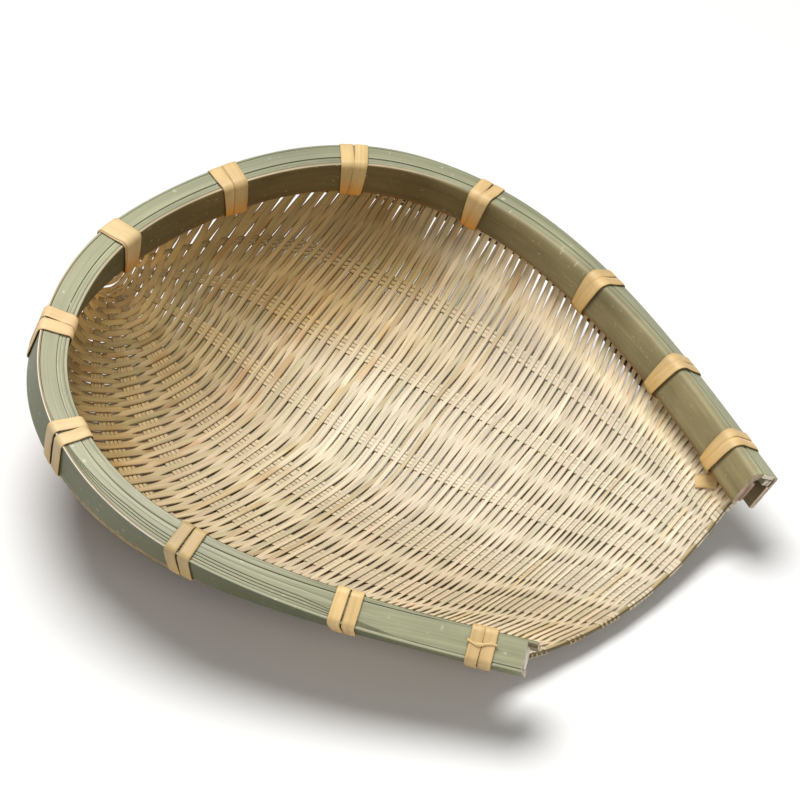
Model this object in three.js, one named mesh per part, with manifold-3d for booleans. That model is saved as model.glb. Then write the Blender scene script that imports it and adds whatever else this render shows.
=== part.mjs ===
// Bamboo draining basket with an open mouth: a horseshoe rim of bamboo strips
// bound with flat strips, holding a woven mat of cross strands over long strips.
// Millimetres, +Z up, mouth toward -Y, closed back toward +Y.
import * as THREE from 'three';
import Module from 'manifold-3d';

const wasm = await Module();
wasm.setup();
const { Manifold, Mesh: ManifoldMesh } = wasm;

// ---------------------------------------------------------------- dimensions
// rim centre line: plan, height and outward lean at even steps from the -X
// mouth end, round the back, to the +X mouth end
const RIM_X = [-69.9, -96.5, -120.7, -130.6, -112.4, -64.5, -1.3, 65.7, 111.2, 129.3, 121.0, 100.3, 72.4];
const RIM_Y = [-134.8, -84.2, -28.1, 31.6, 90.6, 131.1, 147.8, 130.2, 90.3, 33.4, -27.8, -87.0, -147.8];
const RIM_Z = [-21.7, -14.5, -6.0, 4.0, 15.4, 19.5, 16.8, 19.5, 15.4, 4.0, -6.0, -14.5, -21.7];
const RIM_LEAN = [37.7, 37.3, 25.6, 7.8, -15.9, -22.3, -9.7, -12.7, -5.2, 9.7, 27.9, 39.0, 34.1];
const RIM_WIDTH = 13.6;            // across the top of the rim
const RIM_HEIGHT = 18.3;           // along the hoops
const OUTER_HOOP = 2.5;            // strip thickness
const INNER_HOOP = 2.2;
const GAP = 0.35;                  // working clearance between neighbouring strips
const FILLER_DROP = 5.6;           // height of the filler strips on top
const FILLER_EDGES = [-4.1, 0.2, 1.5, 2.75, 3.95];   // across the rim, between fillers
const PACKING = [-4.05, -2.0, -7.4, 3.1];             // strip beside the mat edge
const RIM_STEPS = 4;               // straight pieces of rim between two bindings

// bindings
const BINDING_AT = [-0.948, -0.79, -0.601, -0.403, -0.214, -0.032, 0.115, 0.275, 0.456, 0.658, 0.818, 0.944];
const BINDING_WIDTH = 11.4;        // two turns side by side
const BINDING_GROOVE = 0.5;
const BINDING_THICK = 0.9;

// mat: centre line from the mouth lip to the back (y, z)
const MAT_LINE = [[-136.5, -44.6], [-100, -47.6], [-45, -56.4], [15, -56.4], [70, -53.9], [124.7, -28.6], [149.5, -3]];
const MAT_ENDS = [0.985, 0.66, 0.45, 0.31, 0.035];     // where a strand meets the rim
const MAT_SHIFT = -0.044;          // the back gathers a little to one side
const LEAVE = [0.12, 0.40, 0.31];  // how far a strand follows the hoop before turning in
const FLATTEN = [0.75, 0.33, 0.30];// how flat it runs across the middle
const FLAT_Z = -54.2;              // resting flat in the bottom
const FLAT_BLEND = 2.5;
const MAT_IN_RIM = 11.5;           // how far the strands reach up between the hoops
const MAT_OFFSET = 0.3;

// weave
const WARP_AT = [-0.74, -0.547, -0.378, -0.194, 0.114, 0.39, 0.667, 0.875];
const WARP_HALF = 6.0;
const WARP_FILL = 0.27;            // of the spacing, where the strips crowd together
const WARP_THICK = 0.9;
const WEFT_BANDS = 20;
const WEFT_THICK = 0.9;
const WEFT_GAP = 0.55;             // along the mat
const WEFT_RISE = 1.5;             // strand middle above or below the warp middle
const WARP_BANDS = 19;             // bands that pass over and under the warps

// puts the middle of the footprint on the Z axis and the resting flat on z = 0
const SHIFT = new THREE.Vector3(0.455, -2.215, 56.15);

const BAMBOO_GREEN = 0xb4b896, BAMBOO_INNER = 0x8c8360, BAMBOO_STRAW = 0xe6d3a6, BAMBOO_OCHRE = 0xdcb06a;

// ------------------------------------------------------------------- splines
function spline(xs, ys) {
  const n = xs.length, y2 = new Array(n).fill(0), u = new Array(n).fill(0);
  for (let i = 1; i < n - 1; i++) {
    const sig = (xs[i] - xs[i - 1]) / (xs[i + 1] - xs[i - 1]);
    const p = sig * y2[i - 1] + 2;
    y2[i] = (sig - 1) / p;
    u[i] = (ys[i + 1] - ys[i]) / (xs[i + 1] - xs[i]) - (ys[i] - ys[i - 1]) / (xs[i] - xs[i - 1]);
    u[i] = (6 * u[i] / (xs[i + 1] - xs[i - 1]) - sig * u[i - 1]) / p;
  }
  for (let k = n - 2; k >= 0; k--) y2[k] = y2[k] * y2[k + 1] + u[k];
  return (x) => {
    let k = 0;
    while (k < n - 2 && x > xs[k + 1]) k++;
    const h = xs[k + 1] - xs[k], a = (xs[k + 1] - x) / h, b = (x - xs[k]) / h;
    return a * ys[k] + b * ys[k + 1] + ((a * a * a - a) * y2[k] + (b * b * b - b) * y2[k + 1]) * h * h / 6;
  };
}
const KNOTS = RIM_X.map((_, i) => -1 + (2 * i) / (RIM_X.length - 1));
const rimX = spline(KNOTS, RIM_X), rimY = spline(KNOTS, RIM_Y), rimZ = spline(KNOTS, RIM_Z), rimLean = spline(KNOTS, RIM_LEAN);
const V = (x, y, z) => new THREE.Vector3(x, y, z);

// section of the rim at u: centre, tangent, outward and upward directions
function section(u) {
  const c = V(rimX(u), rimY(u), rimZ(u)), e = 1e-4;
  const d = V(rimX(u + e) - rimX(u - e), rimY(u + e) - rimY(u - e), rimZ(u + e) - rimZ(u - e));
  const speed = d.length() / (2 * e);
  const t = d.normalize();
  const out = V(0, 0, 1).cross(t).normalize();
  const up = t.clone().cross(out).normalize();
  if (up.z < 0) up.negate();
  const r = THREE.MathUtils.degToRad(rimLean(u));
  const n = out.clone().multiplyScalar(Math.cos(r)).addScaledVector(up, -Math.sin(r));
  const b = up.clone().multiplyScalar(Math.cos(r)).addScaledVector(out, Math.sin(r));
  return { c, t, n, b, speed, at: (p, q) => c.clone().addScaledVector(n, p).addScaledVector(b, q) };
}

// -------------------------------------------------------------- solid builders
function solid(rings, closed) {
  // rings of points, each the same count, joined in order; ends capped unless closed
  const m = rings[0].length, pos = [], idx = [];
  rings.forEach((r) => r.forEach((p) => pos.push(p.x + SHIFT.x, p.y + SHIFT.y, p.z + SHIFT.z)));
  const last = closed ? rings.length : rings.length - 1;
  for (let i = 0; i < last; i++) {
    const a = i * m, b = ((i + 1) % rings.length) * m;
    for (let j = 0; j < m; j++) {
      const k = (j + 1) % m;
      idx.push(a + j, b + j, b + k, a + j, b + k, a + k);
    }
  }
  if (!closed) {
    const e = (rings.length - 1) * m;
    for (let j = 1; j < m - 1; j++) { idx.push(0, j, j + 1); idx.push(e, e + j + 1, e + j); }
  }
  const vol = idx.reduce((s, _, i) => {
    if (i % 3) return s;
    const [A, B, C] = [0, 1, 2].map((k) => V(...pos.slice(3 * idx[i + k], 3 * idx[i + k] + 3)));
    return s + A.dot(B.cross(C));
  }, 0);
  if (vol < 0) for (let i = 0; i < idx.length; i += 3) [idx[i + 1], idx[i + 2]] = [idx[i + 2], idx[i + 1]];
  const g = new THREE.BufferGeometry();
  g.setAttribute('position', new THREE.Float32BufferAttribute(pos, 3));
  g.setIndex(idx);
  return g;
}
function toManifold(g) {
  const m = new ManifoldMesh({ numProp: 3, vertProperties: new Float32Array(g.attributes.position.array), triVerts: new Uint32Array(g.index.array) });
  m.merge();
  return new Manifold(m);
}
function fromManifold(s) {
  const m = s.getMesh(), g = new THREE.BufferGeometry(), p = [];
  for (let i = 0; i < m.numVert; i++) p.push(m.vertProperties[i * m.numProp], m.vertProperties[i * m.numProp + 1], m.vertProperties[i * m.numProp + 2]);
  g.setAttribute('position', new THREE.Float32BufferAttribute(p, 3));
  g.setIndex(Array.from(m.triVerts));
  return g;
}
const group = new THREE.Group();
group.name = 'bamboo_draining_basket';
function add(name, geometry, color, roughness) {
  const g = geometry.index ? geometry : geometry;
  g.computeVertexNormals();
  const mesh = new THREE.Mesh(g, new THREE.MeshStandardMaterial({ color, roughness, metalness: 0, flatShading: true }));
  mesh.name = name;
  group.add(mesh);
}

// ------------------------------------------------------------------ rim strips
const HALF_W = RIM_WIDTH / 2, HALF_H = RIM_HEIGHT / 2;
const stops = [-0.98];
BINDING_AT.forEach((uc, k) => {
  const w = BINDING_WIDTH / 2 / section(uc).speed, from = stops[stops.length - 1];
  for (let i = 1; i < RIM_STEPS && k; i++) stops.push(from + ((uc - w - from) * i) / RIM_STEPS);
  stops.push(uc - w, uc, uc + w);
});
function rimStrip(n0, n1, b0, b1, u0 = -1, u1 = 1) {
  const us = [u0, ...stops, 0.98, u1];
  return solid(us.map((u) => {
    const s = section(u);
    return [s.at(n0, b0), s.at(n1, b0), s.at(n1, b1), s.at(n0, b1)];
  }), false);
}
add('outer_hoop', rimStrip(HALF_W - OUTER_HOOP, HALF_W, -HALF_H, HALF_H), BAMBOO_GREEN, 0.45);
add('inner_hoop', rimStrip(-HALF_W, -HALF_W + INNER_HOOP, -HALF_H, HALF_H - 0.3, -1.006, 0.998), BAMBOO_INNER, 0.45);
for (let i = 0; i < 4; i++) {
  add(`rim_filler_${i + 1}`, rimStrip(FILLER_EDGES[i] + (i ? GAP / 2 : 0), FILLER_EDGES[i + 1] - GAP / 2, HALF_H - FILLER_DROP, HALF_H - 0.15 * i, -0.992, 0.992), BAMBOO_GREEN, 0.5);
}
add('rim_packing', rimStrip(PACKING[0], PACKING[1], PACKING[2], PACKING[3], -0.987, 0.987), BAMBOO_OCHRE, 0.6);

// -------------------------------------------------------------------- bindings
const frameAt = (uc, off) => section(uc + off / section(uc).speed);
function loop(extra, cut) {
  const w = HALF_W + extra, h = HALF_H + extra;
  return [[w, -h + cut], [w, h - cut], [w - cut, h], [-w + cut, h], [-w, h - cut], [-w, -h + cut], [-w + cut, -h], [w - cut, -h]];
}
const IN = loop(GAP, 0.35), OUT = loop(GAP + BINDING_THICK, 1.1);
const MID = IN.map((p, i) => [p[0] + (OUT[i][0] - p[0]) * 0.5, p[1] + (OUT[i][1] - p[1]) * 0.5]);
BINDING_AT.forEach((uc, k) => {
  const w = BINDING_WIDTH / 2, gr = BINDING_GROOVE / 2;
  const row = [[-w, OUT], [-gr, OUT], [-gr, MID], [gr, MID], [gr, OUT], [w, OUT], [w, IN], [0, IN], [-w, IN]];
  const frames = row.map(([o]) => frameAt(uc, o));
  const rings = IN.map((_, j) => row.map(([, L], i) => frames[i].at(L[j][0], L[j][1])));
  add(`binding_${String(k + 1).padStart(2, '0')}`, solid(rings, true), BAMBOO_OCHRE, 0.5);
});
// passages through the mat under the rim, one per binding
const passages = Manifold.union(BINDING_AT.map((uc) => {
  const w = BINDING_WIDTH / 2 + 0.45, hi = -HALF_H - 0.02, lo = -HALF_H - GAP - BINDING_THICK - 0.4, x = HALF_W + GAP + BINDING_THICK + 0.4;
  const rings = [-w, -w / 3, w / 3, w].map((o) => { const s = frameAt(uc, o); return [s.at(-x, lo), s.at(x, lo), s.at(x, hi), s.at(-x, hi)]; });
  return toManifold(solid(rings, false));
}));

// ------------------------------------------------------------------ mat surface
const lineS = [0];
for (let i = 1; i < MAT_LINE.length; i++) lineS.push(lineS[i - 1] + Math.hypot(MAT_LINE[i][0] - MAT_LINE[i - 1][0], MAT_LINE[i][1] - MAT_LINE[i - 1][1]));
const lineY = spline(lineS, MAT_LINE.map((p) => p[0])), lineZ = spline(lineS, MAT_LINE.map((p) => p[1]));
const table = [];
{
  let s = 0, py = lineY(0), pz = lineZ(0);
  for (let i = 0; i <= 400; i++) {
    const t = (i / 400) * lineS[lineS.length - 1], y = lineY(t), z = lineZ(t);
    s += Math.hypot(y - py, z - pz); py = y; pz = z;
    table.push([s, y, z]);
  }
}
const MAT_LENGTH = table[400][0];
function centre(v) {
  const s = v * MAT_LENGTH;
  let k = 0;
  while (k < 399 && table[k + 1][0] < s) k++;
  const f = (s - table[k][0]) / (table[k + 1][0] - table[k][0]);
  return [table[k][1] + (table[k + 1][1] - table[k][1]) * f, table[k][2] + (table[k + 1][2] - table[k][2]) * f];
}
const QUARTERS = [0, 0.25, 0.5, 0.75, 1], THIRDS = [0, 0.5, 1];
const endAt = spline(QUARTERS, MAT_ENDS), leaveAt = spline(THIRDS, LEAVE), flattenAt = spline(THIRDS, FLATTEN);
function flatten(p) {
  const h = p.z - FLAT_Z;
  p.z = FLAT_Z + (h <= 0 ? 0 : h < 2 * FLAT_BLEND ? (h * h) / (4 * FLAT_BLEND) : h - FLAT_BLEND);
  return p;
}
// one strand path across the mat at v (0 lip .. 1 back); a runs -1 .. 1 between the hoops
const cache = new Map();
function strand(v) {
  const key = v.toFixed(6);
  if (cache.has(key)) return cache.get(key);
  const h = endAt(v), sh = MAT_SHIFT * Math.pow(Math.max(v, 0), 1.5);
  const S = [section(-h + sh), section(h + sh)], Q = S.map((s) => s.at(MAT_OFFSET, -HALF_H));
  const [yc, zc] = centre(v), M = V(0.5 * (Q[0].x + Q[1].x), yc, zc);
  const chord = Q[1].clone().sub(Q[0]).multiplyScalar(0.5);
  chord.z = 0;
  const k1 = leaveAt(v), k2 = flattenAt(v);
  const halves = [0, 1].map((k) => {
    const P1 = Q[k].clone().addScaledVector(S[k].b, -k1 * Q[k].distanceTo(M));
    const P2 = M.clone().addScaledVector(chord, k ? k2 : -k2);
    const curve = new THREE.CubicBezierCurve3(Q[k], P1, P2, M), pts = curve.getPoints(80), len = [0];
    for (let i = 1; i <= 80; i++) len.push(len[i - 1] + pts[i].distanceTo(pts[i - 1]));
    return { pts, len, L: len[80] };
  });
  const at = (a) => {
    const { pts, len, L } = halves[a < 0 ? 0 : 1], q = Math.min(Math.max(1 - Math.abs(a), 0), 1) * L;
    let k = 0;
    while (k < 79 && len[k + 1] < q) k++;
    const f = (q - len[k]) / (len[k + 1] - len[k]);
    return flatten(pts[k].clone().lerp(pts[k + 1], Math.min(f, 1)));
  };
  const r = { at, S, L: [halves[0].L, halves[1].L] };
  cache.set(key, r);
  return r;
}
function normal(a, v) {
  const da = 0.012, dv = 0.004;
  const a0 = Math.max(-1, a - da), a1 = Math.min(1, a + da), v0 = Math.max(0, v - dv), v1 = Math.min(1, v + dv);
  const ta = strand(v).at(a1).sub(strand(v).at(a0)), tv = strand(v1).at(a).sub(strand(v0).at(a));
  return ta.cross(tv).normalize();
}
const spacing = (v, k) => strand(v).L[k] * 0.25;
const halfWarp = (v, k) => Math.min(WARP_HALF, WARP_FILL * spacing(v, k));

// ---------------------------------------------------------------- weft bands
const bandV = [];
for (let j = 0; j < WEFT_BANDS; j++) {
  const g = WEFT_GAP / 2 / MAT_LENGTH;
  bandV.push([j / WEFT_BANDS + (j ? g : 0), (j + 1) / WEFT_BANDS - (j < WEFT_BANDS - 1 ? g : 0)]);
}
function crossings(v, woven) {
  // [a, phase of the strand height]; the plateaus cover each warp
  const st = strand(v), list = [[-1, 0]];
  if (!woven) {
    [-0.8, -0.6, -0.4, -0.2, 0, 0.2, 0.4, 0.6, 0.8].forEach((a) => list.push([a, 0]));
  } else {
    WARP_AT.forEach((a, k) => {
      const side = a < 0 ? 0 : 1, m = (halfWarp(v, side) + 0.8) / st.L[side];
      if (k) list.push([0.5 * (a + WARP_AT[k - 1]), 0]);
      list.push([a - m, k % 2 ? 1 : -1], [a + m, k % 2 ? 1 : -1]);
    });
  }
  list.push([1, 0]);
  return list;
}
bandV.forEach((vv, j) => {
  const woven = j < WARP_BANDS, sign = j % 2 ? 1 : -1;
  const edges = vv.map((v) => {
    const st = strand(v), pts = [];
    const inRim = (k, s) => ({ p: st.S[k].at(MAT_OFFSET, -HALF_H + s), n: st.S[k].n.clone().negate() });
    pts.push(inRim(0, MAT_IN_RIM), inRim(0, MAT_IN_RIM / 2));
    crossings(v, woven).forEach(([a, ph]) => {
      const n = normal(a, v), rise = ph * sign * WEFT_RISE;
      pts.push({ p: st.at(a).addScaledVector(n, rise), n });
    });
    pts.push(inRim(1, MAT_IN_RIM / 2), inRim(1, MAT_IN_RIM));
    return pts;
  });
  const rings = edges[0].map((e, i) => {
    const f = edges[1][i], t = WEFT_THICK / 2;
    return [e.p.clone().addScaledVector(e.n, -t), f.p.clone().addScaledVector(f.n, -t), f.p.clone().addScaledVector(f.n, t), e.p.clone().addScaledVector(e.n, t)];
  });
  const cut = toManifold(solid(rings, false)).subtract(passages).decompose();
  cut.sort((p, q) => q.volume() - p.volume());
  add(`weft_band_${String(j + 1).padStart(2, '0')}`, fromManifold(cut[0]), BAMBOO_STRAW, 0.6);
});

// --------------------------------------------------------------------- warps
const warpV = bandV.slice(0, WARP_BANDS).flat();
WARP_AT.forEach((a, k) => {
  const side = a < 0 ? 0 : 1, t = WARP_THICK / 2;
  const rings = warpV.map((v) => {
    const st = strand(v), m = halfWarp(v, side) / st.L[side];
    return [[a - m, -t], [a + m, -t], [a + m, t], [a - m, t]].map(([q, o]) => st.at(q).addScaledVector(normal(q, v), o));
  });
  add(`warp_${k + 1}`, solid(rings, false), BAMBOO_STRAW, 0.65);
});

export default group;
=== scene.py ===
# Looks of a woven bamboo draining basket: every strand of the mat, the strips of
# the rim and the wound bindings as separate shapes, with bamboo materials.
import math

import bpy
import numpy as np
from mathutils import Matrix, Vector


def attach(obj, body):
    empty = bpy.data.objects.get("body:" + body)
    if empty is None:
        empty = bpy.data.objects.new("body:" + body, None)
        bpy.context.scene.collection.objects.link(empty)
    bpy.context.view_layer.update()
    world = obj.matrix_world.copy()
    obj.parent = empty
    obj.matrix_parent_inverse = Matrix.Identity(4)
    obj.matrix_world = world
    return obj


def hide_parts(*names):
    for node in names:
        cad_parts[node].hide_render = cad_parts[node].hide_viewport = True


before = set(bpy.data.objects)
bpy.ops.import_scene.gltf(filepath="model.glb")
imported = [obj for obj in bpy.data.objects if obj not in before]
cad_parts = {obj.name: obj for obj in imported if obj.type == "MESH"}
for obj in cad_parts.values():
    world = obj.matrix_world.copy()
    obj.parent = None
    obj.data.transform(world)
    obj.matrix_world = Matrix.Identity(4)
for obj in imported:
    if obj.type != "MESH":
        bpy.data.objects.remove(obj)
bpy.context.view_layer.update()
RNG = np.random.default_rng(20)

# ------------------------------------------------------------- basket's shape
# millimetres, the same lines as the construction, moved by SHIFT into its frame
RIM_X = [-69.9, -96.5, -120.7, -130.6, -112.4, -64.5, -1.3, 65.7, 111.2, 129.3, 121.0, 100.3, 72.4]
RIM_Y = [-134.8, -84.2, -28.1, 31.6, 90.6, 131.1, 147.8, 130.2, 90.3, 33.4, -27.8, -87.0, -147.8]
RIM_Z = [-21.7, -14.5, -6.0, 4.0, 15.4, 19.5, 16.8, 19.5, 15.4, 4.0, -6.0, -14.5, -21.7]
RIM_LEAN = [37.7, 37.3, 25.6, 7.8, -15.9, -22.3, -9.7, -12.7, -5.2, 9.7, 27.9, 39.0, 34.1]
HALF_W, HALF_H = 6.8, 9.15
BINDING_AT = [-0.948, -0.79, -0.601, -0.403, -0.214, -0.032, 0.115, 0.275, 0.456, 0.658, 0.818, 0.944]
MAT_LINE = [[-136.5, -44.6], [-100, -47.6], [-45, -56.4], [15, -56.4], [70, -53.9], [124.7, -28.6], [149.5, -3]]
MAT_ENDS = [0.985, 0.66, 0.45, 0.31, 0.035]
MAT_SHIFT = -0.044
LEAVE, FLATTEN = [0.12, 0.40, 0.31], [0.75, 0.33, 0.30]
FLAT_Z, FLAT_BLEND = -54.2, 2.5
MAT_OFFSET = 0.3
# the strands bend across the mat: v = c + sum of LINE_K[i-1][j] (a - LINE_A)^i c^j
LINE_A = 0.12
LINE_K = [
    (-0.0018, -0.1143, -0.1403, 1.5956, -1.9152, 0.5601),
    (0.0300, -0.9582, -0.2789, 4.1689, -2.9892, -0.0458),
    (-0.0204, 0.0279, 0.9612, -6.0078, 8.2090, -3.1661),
    (-0.0364, 0.7757, 0.0918, -3.8373, 3.9776, -0.9242),
    (0.0000, -0.0227, 1.5228, -3.7552, 3.1631, -0.9058),
]
# the long strips fan out toward the mouth: a along c for each bundle, and strips in it
WARP_C = [0, 0.06, 0.127, 0.193, 0.26, 0.327, 0.393, 0.46, 0.6, 0.73, 0.86, 1.0]
WARP_A = [
    [-0.60, -0.65, -0.68, -0.70, -0.715, -0.725, -0.735, -0.74, -0.74, -0.72, -0.70, -0.67],
    [-0.36, -0.43, -0.475, -0.505, -0.52, -0.535, -0.545, -0.55, -0.545, -0.515, -0.49, -0.46],
    [-0.13, -0.20, -0.256, -0.303, -0.328, -0.346, -0.366, -0.374, -0.364, -0.34, -0.316, -0.29],
    [0.115, 0.06, -0.004, -0.054, -0.084, -0.114, -0.136, -0.146, -0.144, -0.12, -0.106, -0.09],
    [0.42, 0.36, 0.282, 0.228, 0.188, 0.154, 0.132, 0.122, 0.134, 0.17, 0.196, 0.22],
    [0.69, 0.62, 0.556, 0.498, 0.482, 0.46, 0.44, 0.434, 0.44, 0.444, 0.48, 0.50],
    [0.86, 0.83, 0.81, 0.776, 0.756, 0.736, 0.72, 0.716, 0.712, 0.706, 0.74, 0.76],
    [0.955, 0.962, 0.968, 0.975, 0.984, 0.99, 0.99, 0.984, 0.966, 0.962, 0.975, 0.985],
]
WARP_STRIPS = [4, 4, 5, 7, 4, 4, 3, 3]
STRIP_PITCH = 2.25
# room for two strands (1/1500 of the mat's length) along c
ROOM = [(0, 15), (0.067, 15.5), (0.1, 16.5), (0.133, 13.5), (0.157, 12.8), (0.173, 15), (0.2, 18.5), (0.233, 17), (0.257, 16.5),
        (0.3, 18.7), (0.367, 19.5), (0.4, 20.5), (0.467, 21.7), (0.533, 25), (0.6, 27), (0.64, 28.7), (0.693, 27.5), (0.727, 25),
        (0.753, 21.5), (0.8, 21), (0.867, 22), (0.9, 23), (0.933, 26), (0.967, 26), (0.993, 21)]
SHIFT = np.array([0.455, -2.215, 56.15])
BANDS = 20


def spline(xs, ys):
    xs, ys = np.array(xs, float), np.array(ys, float)
    n, h = len(xs), np.diff(xs)
    m, r = np.zeros((n, n)), np.zeros(n)
    m[0, 0] = m[-1, -1] = 1
    for i in range(1, n - 1):
        m[i, i - 1 : i + 2] = h[i - 1], 2 * (h[i - 1] + h[i]), h[i]
        r[i] = 6 * ((ys[i + 1] - ys[i]) / h[i] - (ys[i] - ys[i - 1]) / h[i - 1])
    k2 = np.linalg.solve(m, r)

    def f(x):
        x = np.asarray(x, float)
        k = np.clip(np.searchsorted(xs, x) - 1, 0, n - 2)
        d = xs[k + 1] - xs[k]
        a, b = (xs[k + 1] - x) / d, (x - xs[k]) / d
        return a * ys[k] + b * ys[k + 1] + ((a**3 - a) * k2[k] + (b**3 - b) * k2[k + 1]) * d * d / 6

    return f


def unit(v):
    return v / np.maximum(np.linalg.norm(v, axis=-1, keepdims=True), 1e-12)


def smooth(x, lo=0.0, hi=1.0):
    t = np.clip((np.asarray(x, float) - lo) / (hi - lo), 0, 1)
    return t * t * (3 - 2 * t)


KNOTS = np.linspace(-1, 1, 13)
_rx, _ry, _rz, _rl = (spline(KNOTS, y) for y in (RIM_X, RIM_Y, RIM_Z, RIM_LEAN))


class Section:
    """The rim's cross-section at u: n points out of the basket, b up along the hoops."""

    def __init__(self, u):
        u = np.atleast_1d(np.asarray(u, float))
        e = 1e-4
        here = lambda w: np.stack([_rx(w), _ry(w), _rz(w)], -1)
        self.u, self.c = u, here(u)
        d = here(u + e) - here(u - e)
        self.speed = np.linalg.norm(d, axis=-1) / (2 * e)
        self.t = unit(d)
        out = unit(np.cross([0.0, 0.0, 1.0], self.t))
        up = unit(np.cross(self.t, out))
        up = np.where(up[:, 2:3] < 0, -up, up)
        r = np.radians(_rl(u))[:, None]
        self.n = out * np.cos(r) - up * np.sin(r)
        self.b = up * np.cos(r) + out * np.sin(r)

    def at(self, p, q):
        p, q = np.asarray(p, float), np.asarray(q, float)
        return self.c + self.n * p[..., None] + self.b * q[..., None]

    def ring(self, p, q):
        """Rows of points (u, profile)."""
        return self.c[:, None] + self.n[:, None] * p[..., None] + self.b[:, None] * q[..., None]


_s = np.concatenate([[0], np.cumsum(np.hypot(*np.diff(np.array(MAT_LINE), axis=0).T))])
_ly, _lz = spline(_s, [p[0] for p in MAT_LINE]), spline(_s, [p[1] for p in MAT_LINE])
_t = np.linspace(0, _s[-1], 401)
_py, _pz = _ly(_t), _lz(_t)
_arc = np.concatenate([[0], np.cumsum(np.hypot(np.diff(_py), np.diff(_pz)))])
MAT_LENGTH = _arc[-1]
_ends = spline([0, 0.25, 0.5, 0.75, 1], MAT_ENDS)
_leave, _flat = spline([0, 0.5, 1], LEAVE), spline([0, 0.5, 1], FLATTEN)


def centre(v):
    s = v * MAT_LENGTH
    k = int(np.clip(np.searchsorted(_arc, s) - 1, 0, 399))
    f = (s - _arc[k]) / (_arc[k + 1] - _arc[k])
    return _py[k] + (_py[k + 1] - _py[k]) * f, _pz[k] + (_pz[k + 1] - _pz[k]) * f


class Strand:
    """One line across the mat at v (0 lip .. 1 back); a runs -1 .. 1 from hoop to hoop."""

    def __init__(self, v):
        h, sh = float(_ends(v)), MAT_SHIFT * max(v, 0.0) ** 1.5
        self.u = np.array([-h + sh, h + sh])
        self.sec = Section(self.u)
        q = self.sec.at(np.full(2, MAT_OFFSET), np.full(2, -HALF_H))
        yc, zc = centre(v)
        m = np.array([q[:, 0].mean(), yc, zc])
        chord = 0.5 * (q[1] - q[0]) * [1, 1, 0]
        k1, k2 = float(_leave(v)), float(_flat(v))
        t = np.linspace(0, 1, 81)[:, None]
        self.pts, self.len = [], []
        for k in (0, 1):
            p1 = q[k] - self.sec.b[k] * k1 * np.linalg.norm(q[k] - m)
            p2 = m + chord * (k2 if k else -k2)
            c = (1 - t) ** 3 * q[k] + 3 * (1 - t) ** 2 * t * p1 + 3 * (1 - t) * t * t * p2 + t**3 * m
            self.pts.append(c)
            self.len.append(np.concatenate([[0], np.cumsum(np.linalg.norm(np.diff(c, axis=0), axis=1))]))
        self.L = [self.len[0][-1], self.len[1][-1]]

    def at(self, a):
        a = np.atleast_1d(np.asarray(a, float))
        out = np.zeros((len(a), 3))
        for k, pick in ((0, a < 0), (1, a >= 0)):
            q = np.clip(1 - np.abs(a[pick]), 0, 1) * self.L[k]
            for j in range(3):
                out[pick, j] = np.interp(q, self.len[k], self.pts[k][:, j])
        h = out[:, 2] - FLAT_Z
        out[:, 2] = FLAT_Z + np.where(h <= 0, 0, np.where(h < 2 * FLAT_BLEND, h * h / (4 * FLAT_BLEND), h - FLAT_BLEND))
        return out


def lin(r, g, b):
    """Linear colour from 0..255 display values."""
    c = np.array([r, g, b], float) / 255
    return np.where(c <= 0.04045, c / 12.92, ((c + 0.055) / 1.055) ** 2.4)


def wobble(x, seed, period, amount):
    """Smooth, repeatable unevenness along a length (mm)."""
    g = np.random.default_rng(seed)
    f = np.zeros_like(np.asarray(x, float))
    for k in range(3):
        f = f + g.normal() * np.sin(2 * np.pi * np.asarray(x) / (period * (0.6 + 0.5 * k)) + g.uniform(0, 6.28)) / (1 + 0.5 * k)
    return amount * f


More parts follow.
